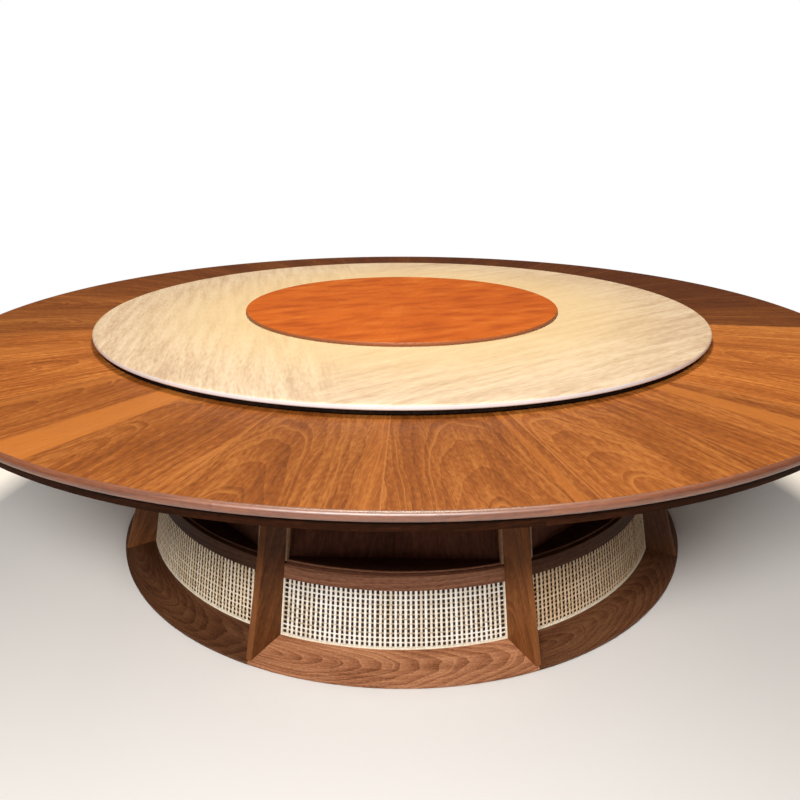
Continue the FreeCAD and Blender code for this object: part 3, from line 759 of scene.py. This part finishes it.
nosing_wood = walnut(
    "nosing_wood", round_drum(EDGE_SEGMENTS, EDGE_AXIS),
    srgb(94, 44, 16), srgb(118, 60, 24), srgb(136, 76, 36), roughness=0.4, specular=0.6,
    coat_weight=1.0, coat_roughness=0.5, coat_ior=1.9)
band_wood = walnut(
    "band_wood", round_drum(EDGE_SEGMENTS, EDGE_AXIS),
    srgb(26, 12, 5), srgb(41, 19, 8), srgb(56, 28, 13), roughness=0.5, specular=0.04)
frame_wood = walnut(
    "frame_wood", along_rays(BAY_COUNT, FAR_APEX),
    srgb(136, 96, 60), srgb(172, 130, 88), srgb(196, 156, 112), roughness=0.6)
core_board = walnut(
    "core_board", along_rays(BAY_COUNT, FAR_APEX),
    srgb(86, 52, 30), srgb(118, 76, 46), srgb(140, 96, 62), roughness=0.6)
turntable_board = walnut(
    "turntable_board", along_rays(BAY_COUNT, FAR_APEX),
    srgb(12, 7, 5), srgb(22, 13, 9), srgb(32, 20, 14), roughness=0.7, specular=0.05)
print("walnut for the edge and the frame, in", EDGE_SEGMENTS, "segments round the edge")

# %% [markdown]
# ## Travertine
#
# The tray is cream travertine, honed on top and polished on its edge. Cut across the bed it shows
# fine parallel streaks. One straight direction would look like printed paper, so the streaks turn
# between two slabs and wander a little, and small pits and cloudy patches break them up.

# %% Veins
VEIN_ANGLES = (math.radians(102), math.radians(38))
VEIN_SEEDS = (1.0, 6.0)
VEIN_DETAIL = 4.0
SWAY_WAVES = (2.5, 2.5)
SWAY_WIDTH = 0.03
WIDE_WAVES = (3.5, 38.0)
WIDE_SHARE = 0.55
FINE_WAVES = (26.0, 150.0)
FINE_SHARE = 0.45


def vein_field(tree, x, y, angle, seed):
    """Fine streaks along one direction."""
    along, across = turned(tree, x, y, angle)
    sway = streaks(tree, along, across, SWAY_WAVES, seed)
    across = weigh(tree, across, (sway, SWAY_WIDTH))
    wide = streaks(tree, along, across, WIDE_WAVES, seed, VEIN_DETAIL)
    fine = streaks(tree, along, across, FINE_WAVES, seed, VEIN_DETAIL)
    return weigh(tree, 0.0, (wide, WIDE_SHARE), (fine, FINE_SHARE))


print("veins at", [round(math.degrees(angle)) for angle in VEIN_ANGLES], "degrees")

# %% Stone
SLAB_JOIN = -0.15
SLAB_BLEND = 0.2
SLAB_WANDER = 0.3
CLOUD_SCALE = 3.0
CLOUD_DETAIL = 3.0
STONE_BASE = -0.42
VEIN_SHARE = 1.45
CLOUD_SHARE = 0.4
STONE_TONES = ((0.30, srgb(186, 161, 136)), (0.48, srgb(205, 183, 155)), (0.66, srgb(217, 200, 175)))
# Painted light: a warm glow is painted on the stone round the disc, fading out towards the rim.
GLOW_TONE = srgb(228, 202, 150)
GLOW_SHARE = 0.6
PIT_SCALE = 190.0
PIT_CUT = (0.62, 0.74)
PIT_VEINS = (0.5, 0.38)
PIT_TONE = srgb(160, 137, 106)
PIT_SHARE = 0.35
EDGE_HEIGHTS = (STONE_TOP - 4 * MILLIMETRE, STONE_TOP - 1 * MILLIMETRE)
# Painted light: the polished edge is painted paler and cooler for the front light on it.
EDGE_LIGHT_TONE = srgb(230, 229, 234)
EDGE_LIGHT_SHARE = 0.85
HONED = 0.36
VEIN_ROUGHNESS = 0.14
PIT_ROUGHNESS = 0.3
EDGE_POLISH = -0.22
VEIN_RELIEF = 0.15
STONE_DEPTH = 0.25 * MILLIMETRE


def travertine():
    """Honed stone with veins, pits and a polished edge, with painted light: a warm glow round the disc
    and a paler, cooler edge.
    """
    material, tree, shader = new_finish("stone", roughness=0.4)
    x, y, z = coordinates(tree)
    cloud = noise(tree, position(tree), CLOUD_SCALE, CLOUD_DETAIL)
    slab = remap(tree, weigh(tree, x, (cloud, SLAB_WANDER)), SLAB_JOIN, SLAB_JOIN + SLAB_BLEND)
    left = vein_field(tree, x, y, VEIN_ANGLES[0], VEIN_SEEDS[0])
    right = vein_field(tree, x, y, VEIN_ANGLES[1], VEIN_SEEDS[1])
    veins = weigh(tree, left, (scaled(tree, calc(tree, "SUBTRACT", right, left), slab), 1.0))
    tone = weigh(tree, STONE_BASE, (veins, VEIN_SHARE), (cloud, CLOUD_SHARE))
    # Painted light: the warm glow round the disc.
    glow = remap(tree, span(tree, x, y), DISC_RADIUS, STONE_RADIUS, GLOW_SHARE, 0.0)
    colour = mix(tree, glow, ramp(tree, tone, STONE_TONES), GLOW_TONE)
    holes = remap(tree, noise(tree, position(tree), PIT_SCALE), *PIT_CUT)
    pits = scaled(tree, holes, remap(tree, veins, *PIT_VEINS))
    colour = mix(tree, scaled(tree, pits, PIT_SHARE), colour, PIT_TONE)
    # Painted light on the edge; its polish lowers the roughness below.
    edge = remap(tree, z, *EDGE_HEIGHTS, 1.0, 0.0)
    colour = mix(tree, scaled(tree, edge, EDGE_LIGHT_SHARE), colour, EDGE_LIGHT_TONE)
    sheen = weigh(tree, HONED, (veins, VEIN_ROUGHNESS), (pits, PIT_ROUGHNESS), (edge, EDGE_POLISH))
    relief = weigh(tree, 0.0, (pits, -1.0), (veins, VEIN_RELIEF))
    surface(tree, shader, colour, sheen, relief, STONE_DEPTH)
    return material


stone = travertine()
print("travertine with", len(stone.node_tree.nodes), "nodes")

# %% [markdown]
# ## Cane, reed and the small hidden parts
#
# Cane is split rattan: pale, slightly glossy outside, with fine fibres, and each strand has a tone of
# its own. The strands carry that tone, with the painted shade of the gaps in the weave, as an
# attribute, so that one material serves them all. The bays beside the front one are painted darker and
# warmer as painted shade, those on the right most. The reed that holds the cane is the same plant.
# The felt, the plastic and the metal parts show only from below or between pieces, so a simple speckle
# of two tones does for them.

# %% Cane
# Painted shade: the bays beside the front one are painted darker and warmer, the right one most.
CANE_SHADE_TINTS = ((-180, srgb(250, 238, 220)), (-22.5, srgb(255, 255, 255)), (22.5, srgb(236, 212, 184)))
CANE_TONES = (
    (0.0, srgb(186, 167, 140)), (0.25, srgb(243, 234, 217)), (0.5, srgb(254, 250, 243)),
    (0.8, srgb(255, 254, 251)))
CANE_BASE = -0.45
STRAND_SHARE = 0.5
PATCH_SHARE = 0.7
PATCH_SCALE = 9.0
CANE_FIBRE_SHARE = 0.55
CANE_FIBRE_SCALE = 420.0
CANE_FIBRE_DETAIL = 3.0
CANE_ROUGHNESS = (0.4, 0.62)
FIBRE_RANGE = (0.3, 0.7)
FIBRE_DEPTH = 0.1 * MILLIMETRE


def cane_finish():
    """Pale cane whose strands have tones of their own, with painted shade in the gaps and on the side
    bays.
    """
    material, tree, shader = new_finish("cane", roughness=0.5)
    own = make(tree, "Attribute", attribute_name="strand_tone_and_shade").outputs["Fac"]
    fibre = noise(tree, position(tree), CANE_FIBRE_SCALE, CANE_FIBRE_DETAIL)
    patch = noise(tree, position(tree), PATCH_SCALE)
    tone = weigh(tree, CANE_BASE, (own, STRAND_SHARE), (patch, PATCH_SHARE), (fibre, CANE_FIBRE_SHARE))
    # Painted shade by the bay.
    tint = by_turn(tree, polar(tree, BAY_COUNT, False), CANE_SHADE_TINTS)
    colour = tinted(tree, ramp(tree, tone, CANE_TONES), tint)
    roughness = remap(tree, fibre, *FIBRE_RANGE, *CANE_ROUGHNESS)
    surface(tree, shader, colour, roughness, fibre, FIBRE_DEPTH)
    return material


cane = cane_finish()
print("cane in", len(CANE_SHADE_TINTS), "tints")

# %% Reed, felt, plastic and metal
SPECKLE_DETAIL = 3.0
SPECKLE_ROUGHNESS = 0.2
FELT_DEPTH = 0.3 * MILLIMETRE
PLASTIC_DEPTH = 0.05 * MILLIMETRE


def speckled(name, first, second, scale, roughness, depth=0.0, **constants):
    """Plain stuff with a fine grain: two tones mixed by noise, and a little relief."""
    material, tree, shader = new_finish(name, roughness, **constants)
    grain = noise(tree, position(tree), scale, SPECKLE_DETAIL)
    colour = mix(tree, remap(tree, grain, *FIBRE_RANGE), first, second)
    sheen = weigh(tree, roughness - SPECKLE_ROUGHNESS / 2, (grain, SPECKLE_ROUGHNESS))
    surface(tree, shader, colour, sheen, grain, depth)
    return material


spline = speckled(
    "spline", srgb(236, 224, 198), srgb(252, 245, 228), scale=160.0, roughness=0.5, depth=FIBRE_DEPTH)
jamb_reed = speckled(
    "jamb_reed", srgb(146, 114, 88), srgb(176, 142, 112), scale=160.0, roughness=0.5, depth=FIBRE_DEPTH)
glide_felt = speckled(
    "glide_felt", srgb(40, 36, 33), srgb(74, 68, 62), scale=900.0, roughness=0.95, depth=FELT_DEPTH)
cage_plastic = speckled(
    "cage_plastic", srgb(24, 24, 25), srgb(40, 40, 42), scale=500.0, roughness=0.5, depth=PLASTIC_DEPTH)
ring_aluminium = speckled(
    "ring_aluminium", srgb(190, 192, 195), srgb(212, 214, 216), scale=700.0, roughness=0.35, metallic=1.0)
ball_steel = speckled(
    "ball_steel", srgb(196, 198, 200), srgb(220, 221, 222), scale=300.0, roughness=0.2, metallic=1.0)
screw_steel = speckled(
    "screw_steel", srgb(170, 168, 160), srgb(198, 196, 186), scale=600.0, roughness=0.4, metallic=1.0)
print("reed, felt, plastic and metal ready")

# %% [markdown]
# ## Dress the pieces
#
# The record already says which finish every piece takes. Going through that list, instead of naming
# pieces one by one, makes sure that no piece keeps the plain colour that it was packed with. Two
# pieces then get another finish: the strips at the niches' sides are a darker reed, and the splines
# over the cane match the rails.

# %% Give every piece its finish
FINISHES = {
    "plinth_wood": plinth_wood, "fin_wood": fin_wood, "rail_wood": rail_wood, "niche_wood": niche_wood,
    "cane": cane, "spline": spline, "backing": backing, "frame_wood": frame_wood,
    "core_board": core_board, "veneer": veneer, "nosing_wood": nosing_wood, "band_wood": band_wood,
    "turntable_board": turntable_board, "stone": stone, "disc_veneer": disc_veneer,
    "ring_aluminium": ring_aluminium, "cage_plastic": cage_plastic, "ball_steel": ball_steel,
    "screw_steel": screw_steel, "glide_felt": glide_felt,
}
for part in frame["record"]["subparts"]:
    for place in NODES[part["node"]].material_slots:
        place.material = FINISHES[part["material_slot"]]
for node, finish in (("niche_jamb_strips", jamb_reed), ("cane_head_splines", rail_wood)):
    for place in NODES[node].material_slots:
        place.material = finish

# %% [markdown]
# ## Ease the sharp edges
#
# No joiner leaves a razor edge, and an eased edge is what catches the light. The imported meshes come
# with split corners, so a weld joins them first, and a bevel then rounds only the true edges.

# %% Eased edges
FIN_EASE = 2.0 * MILLIMETRE
RAIL_EASE = 1.0 * MILLIMETRE
EASE_STEPS = 2
TRUE_EDGE = math.radians(35)
WELD_REACH = 0.01 * MILLIMETRE


def ease(node, width):
    """Round the true edges of a piece."""
    weld = NODES[node].modifiers.new("weld", "WELD")
    weld.merge_threshold = WELD_REACH
    bevel = NODES[node].modifiers.new("ease", "BEVEL")
    bevel.width = width
    bevel.segments = EASE_STEPS
    bevel.limit_method = "ANGLE"
    bevel.angle_limit = TRUE_EDGE
    normals = NODES[node].modifiers.new("normals", "WEIGHTED_NORMAL")
    normals.keep_sharp = False


for bay in range(1, BAY_COUNT + 1):
    ease(f"fin_{bay}", FIN_EASE)
    ease(f"cane_rail_{bay}", RAIL_EASE)
print("eased", BAY_COUNT, "fins and", BAY_COUNT, "rails")

# %% [markdown]
# ## Close the seams of the niche boards
#
# The two boards at the back of a niche meet in a shadow gap. In a real joint a loose tongue sits in
# the gap, so that no light comes through. It could be a box for every bay, but the boards lean, so
# each tongue is drawn as a thin leaning bar from the measured foot and head of the seam.

# %% Tongues
TONGUE_WIDTH = 1.9 * MILLIMETRE
TONGUE_DEPTHS = (6.0 * MILLIMETRE, 15.0 * MILLIMETRE)
SEAM_REACH = 2 * MILLIMETRE
BAR_FACES = ((0, 1, 3, 2), (4, 6, 7, 5), (0, 4, 5, 1), (2, 3, 7, 6), (0, 2, 6, 4), (1, 5, 7, 3))


def seam_line():
    """Distance from the axis and height of the front seam's foot and head, on its outer face."""
    near = [vertex.co for vertex in NODES["niche_panels"].data.vertices
            if abs(vertex.co.x) < SEAM_REACH and vertex.co.y < 0]
    ends = []
    for height in (min(co.z for co in near), max(co.z for co in near)):
        ends.append((max(-co.y for co in near if abs(co.z - height) < MILLIMETRE), height))
    return ends


SEAM_FOOT, SEAM_HEAD = seam_line()


def make_tongues():
    """One leaning bar in the seam of every niche."""
    mesh = bpy.data.meshes.new("niche_tongues")
    corners, faces = [], []
    for bay in range(BAY_COUNT):
        start = len(corners)
        turn = Matrix.Rotation(bay * BAY_ANGLE, 3, "Z")
        for radius, height in (SEAM_FOOT, SEAM_HEAD):
            for depth in TONGUE_DEPTHS:
                for side in (-TONGUE_WIDTH / 2, TONGUE_WIDTH / 2):
                    corners.append(turn @ Vector((side, depth - radius, height)))
        for face in BAR_FACES:
            faces.append(tuple(start + k for k in face))
    mesh.from_pydata(corners, [], faces)
    mesh.materials.append(niche_wood)
    tongues = put("niche_tongues", mesh)
    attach(tongues, "table")
    return len(faces)


print(f"tongues with {make_tongues()} faces, {SEAM_HEAD[1] - SEAM_FOOT[1]:.3f} m high")

# %% [markdown]
# ## Weave the cane
#
# A flat sheet with a picture of cane loses its shadows as soon as the light moves. The strands are
# few enough to be real: each is a thin lens-shaped ribbon that goes over one strand and under the
# next. Uprights and rounds use the same wave with opposite signs, so they never meet at a crossing.
# Every strand has a width, a place and a tone of its own, and the rounds are painted darker in the
# gaps between the uprights, a painted shade where they lie deeper in the weave.

# %% Ribbons
STRAND_THICKNESS = 2.0 * MILLIMETRE
LENS_SHARES = ((-0.5, 0.0), (-0.3, 0.5), (0.3, 0.5), (0.5, 0.0), (0.3, -0.5), (-0.3, -0.5))


def ribbon(line, across, outward, width):
    """Corners and faces of one strand that follows a line of points."""
    section = [a * width[:, None] * across + t * STRAND_THICKNESS * outward for a, t in LENS_SHARES]
    corners = np.stack([line + offset for offset in section], axis=1).reshape(-1, 3)
    sides = len(LENS_SHARES)
    faces = []
    for ring in range(len(line) - 1):
        for k in range(sides):
            start, after = ring * sides, (k + 1) % sides
            faces.append((start + k, start + after, start + sides + after, start + sides + k))
    last = (len(line) - 1) * sides
    faces.append(tuple(reversed(range(sides))))
    faces.append(tuple(range(last, last + sides)))
    return corners, faces


print("a ribbon has", len(LENS_SHARES), "sides")

# %% Shape of a cane sheet
CANE_PITCH = 14.0 * MILLIMETRE


def sheet_shape(node):
    """Low and high edge of a sheet: height, middle radius, distance from the fin's middle plane."""
    corners = np.array([vertex.co for vertex in NODES[node].data.vertices])
    radii = np.hypot(corners[:, 0], corners[:, 1])
    half = BAY_ANGLE / 2
    shape = []
    for height in (corners[:, 2].min(), corners[:, 2].max()):
        level = np.abs(corners[:, 2] - height) < MILLIMETRE / 10
        radius = (radii[level].min() + radii[level].max()) / 2
        aside = -(corners[level, 0] * math.cos(half) + corners[level, 1] * math.sin(half)).max()
        shape.append((height, radius, aside))
    return shape


(LOW, FOOT_RADIUS, ASIDE), (HIGH, HEAD_RADIUS, _) = sheet_shape("cane_panel_1")
LEAN = (FOOT_RADIUS - HEAD_RADIUS) / (HIGH - LOW)
SLOPE = math.hypot(1, LEAN)
COLUMNS = round(2 * (BAY_ANGLE / 2 - math.asin(ASIDE / FOOT_RADIUS)) * FOOT_RADIUS / CANE_PITCH)
ROWS = round((HIGH - LOW) * SLOPE / CANE_PITCH)
print(f"cane from {LOW:.3f} to {HIGH:.3f} m, {COLUMNS} by {ROWS} openings")

# %% Points of a sheet
def on_drum(turn, share, rise, lift):
    """Points at shares of a panel's width and height, lifted off the middle of the sheet."""
    height = LOW + rise * (HIGH - LOW)
    radius = FOOT_RADIUS - LEAN * (height - LOW)
    edge = BAY_ANGLE / 2 - np.arcsin(ASIDE / radius)
    angle = turn - math.pi / 2 + (2 * share - 1) * edge
    cosine, sine = np.cos(angle), np.sin(angle)
    outward = np.stack([cosine, sine, np.full_like(angle, LEAN)], axis=1) / SLOPE
    upward = np.stack([-LEAN * cosine, -LEAN * sine, np.ones_like(angle)], axis=1) / SLOPE
    sideways = np.stack([-sine, cosine, np.zeros_like(angle)], axis=1)
    place = np.stack([radius * cosine, radius * sine, height], axis=1) + lift[:, None] * outward
    return place, sideways, upward, outward


print(f"cane leans {math.degrees(math.atan(LEAN)):.1f} degrees")

# %% Strands of a panel
UPRIGHT_WIDTH = 8.4 * MILLIMETRE
UPRIGHT_WIDTHS = (0.93, 1.07)
UPRIGHT_STRAY = (-0.05, 0.05)
ROUND_WIDTH = 5.0 * MILLIMETRE
ROUND_WIDTHS = (0.92, 1.08)
ROUND_STRAY = (-0.04, 0.04)
WAVE_HEIGHT = 0.9 * MILLIMETRE
NARROWING = 0.16
# Painted shade: the rounds are painted darker in the gaps between the uprights.
GAP_SHADE = 0.9
STEPS_PER_GAP = 4


def strand_run(gaps, sign):
    """Shares along a strand, its over and under at the crossings, and one in the middle of each gap."""
    shares = np.linspace(0, 1, gaps * STEPS_PER_GAP + 1)
    lift = sign * WAVE_HEIGHT * np.cos(math.pi * shares * gaps)
    in_gap = (1 - np.cos(FULL_TURN * shares * gaps)) / 2
    return shares, lift, in_gap


def panel_strands(turn, luck):
    """Corners, faces and tones of every strand of a panel, uprights first."""
    for k in range(1, COLUMNS):
        rise, lift, in_gap = strand_run(ROWS, (-1) ** k)
        widths = UPRIGHT_WIDTH * luck.uniform(*UPRIGHT_WIDTHS) * (1 - NARROWING * in_gap)
        share = np.full_like(rise, (k + luck.uniform(*UPRIGHT_STRAY)) / COLUMNS)
        place, sideways, _, outward = on_drum(turn, share, rise, lift)
        tones = np.full_like(in_gap, luck.uniform())
        corners, faces = ribbon(place, sideways, outward, widths)
        yield corners, faces, tones
    for k in range(1, ROWS):
        share, lift, in_gap = strand_run(COLUMNS, -((-1) ** k))
        widths = ROUND_WIDTH * luck.uniform(*ROUND_WIDTHS) * (1 - NARROWING * in_gap)
        rise = np.full_like(share, (k + luck.uniform(*ROUND_STRAY)) / ROWS)
        place, _, upward, outward = on_drum(turn, share, rise, lift)
        # Painted shade in the gaps between the uprights.
        tones = luck.uniform() - GAP_SHADE * in_gap
        corners, faces = ribbon(place, upward, outward, widths)
        yield corners, faces, tones


print(COLUMNS - 1, "uprights and", ROWS - 1, "rounds in every panel")

# %% Woven panels
def weave(bay):
    """Woven panel of one bay, in place of its plain sheet."""
    luck = np.random.default_rng(bay)
    corners, faces, tones = [], [], []
    for strand_corners, strand_faces, strand_tones in panel_strands((bay - 1) * BAY_ANGLE, luck):
        start = len(tones)
        corners.extend(strand_corners.tolist())
        faces.extend(tuple(start + k for k in face) for face in strand_faces)
        tones.extend(np.repeat(strand_tones, len(LENS_SHARES)))
    mesh = bpy.data.meshes.new(f"woven_cane_{bay}")
    mesh.from_pydata(corners, [], faces)
    mesh.attributes.new("strand_tone_and_shade", "FLOAT", "POINT").data.foreach_set("value", tones)
    mesh.shade_smooth()
    mesh.materials.append(cane)
    panel = put(mesh.name, mesh)
    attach(panel, "table")
    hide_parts(f"cane_panel_{bay}")
    return len(faces)


woven = sum(weave(bay) for bay in range(1, BAY_COUNT + 1))
print(f"{BAY_COUNT} woven panels, {woven} faces in all")

# %% [markdown]
# ## Floor, light and background
#
# The table stands on a pale studio floor that fades into white. A single overhead lamp would leave
# the base black, and an even white sky would wash the wood out. So a warm softbox high above the
# middle lights the top evenly, a wide one behind the camera reaches under the top and draws the line
# of light on the nosing, one at the back lights the floor behind, and a dim sky fills the rest.
# Rays from the camera see the sky as white and the floor a little paler than it lights the table.

# %% Floor
FLOOR_RADIUS = 5.0
FLOOR_SIDES = 128
FLOOR_SEEN = srgb(252, 251, 249)
FLOOR_BOUNCE = srgb(208, 207, 205)
FLOOR_FADE = 0.5 * FLOOR_RADIUS


def make_floor():
    """Pale disc that fades out towards its rim."""
    angles = [FULL_TURN * k / FLOOR_SIDES for k in range(FLOOR_SIDES)]
    rim = [(math.cos(angle) * FLOOR_RADIUS, math.sin(angle) * FLOOR_RADIUS, 0) for angle in angles]
    mesh = bpy.data.meshes.new("floor")
    mesh.from_pydata(rim, [], [tuple(range(FLOOR_SIDES))])
    floor = put("floor", mesh)
    material, tree, shader = new_finish("floor", roughness=0.7, specular=0.1)
    by_camera = make(tree, "LightPath").outputs["Is Camera Ray"]
    feed(tree, shader.inputs["Base Color"], mix(tree, by_camera, FLOOR_BOUNCE, FLOOR_SEEN))
    x, y, _ = coordinates(tree)
    fade = remap(tree, span(tree, x, y), FLOOR_FADE, FLOOR_RADIUS)
    clear = make(tree, "BsdfTransparent").outputs[0]
    seen = make(tree, "MixShader", (fade, shader.outputs[0], clear)).outputs[0]
    feed(tree, tree.nodes["Material Output"].inputs["Surface"], seen)
    mesh.materials.append(material)


make_floor()
print(f"floor {2 * FLOOR_RADIUS:.0f} m across")

# %% Sky
SKY_TINT = (1.0, 0.97, 0.93, 1.0)
SKY_STRENGTH = 0.08
SKY_SEEN = (1.0, 1.0, 1.0, 1.0)
SKY_SEEN_STRENGTH = 1.0


def make_sky():
    """Dim warm light all round that the camera sees as white."""
    world = bpy.data.worlds.new("studio")
    world.use_nodes = True
    tree = world.node_tree
    lit = make(tree, "Background", (SKY_TINT, SKY_STRENGTH)).outputs[0]
    seen = make(tree, "Background", (SKY_SEEN, SKY_SEEN_STRENGTH)).outputs[0]
    by_camera = make(tree, "LightPath").outputs["Is Camera Ray"]
    both = make(tree, "MixShader", (by_camera, lit, seen)).outputs[0]
    feed(tree, tree.nodes["World Output"].inputs["Surface"], both)
    bpy.context.scene.world = world


make_sky()
print("sky with a strength of", SKY_STRENGTH)

# %% Softboxes
WARM_LIGHT = (1.0, 0.88, 0.72)
PALE_LIGHT = (1.0, 0.96, 0.92)


def softbox(name, place, target, size, power, colour):
    """Rectangular studio light that faces a target and stays out of the picture."""
    light = bpy.data.lights.new(name, "AREA")
    light.shape = "RECTANGLE"
    light.size, light.size_y = size
    light.energy = power
    light.color = colour
    box = put(name, light)
    box.location = place
    box.rotation_euler = (Vector(target) - Vector(place)).to_track_quat("-Z", "Y").to_euler()
    box.visible_camera = False
    return box


overhead = softbox(
    "overhead", place=(0.0, 1.0, 6.0), target=(0.0, 0.8, 0.76), size=(1.1, 1.1), power=312,
    colour=WARM_LIGHT)
front = softbox(
    "front", place=(-0.2, -3.5, 2.6), target=(0.0, -0.7, 0.4), size=(1.8, 0.5), power=140,
    colour=PALE_LIGHT)
back = softbox(
    "back", place=(-1.0, 6.4, 1.2), target=(0.0, 0.0, 0.4), size=(3.0, 1.0), power=120,
    colour=PALE_LIGHT)
back.visible_glossy = False
bpy.context.scene.view_settings.view_transform = "Standard"
print("softboxes:", ", ".join(box.name for box in (overhead, front, back)))
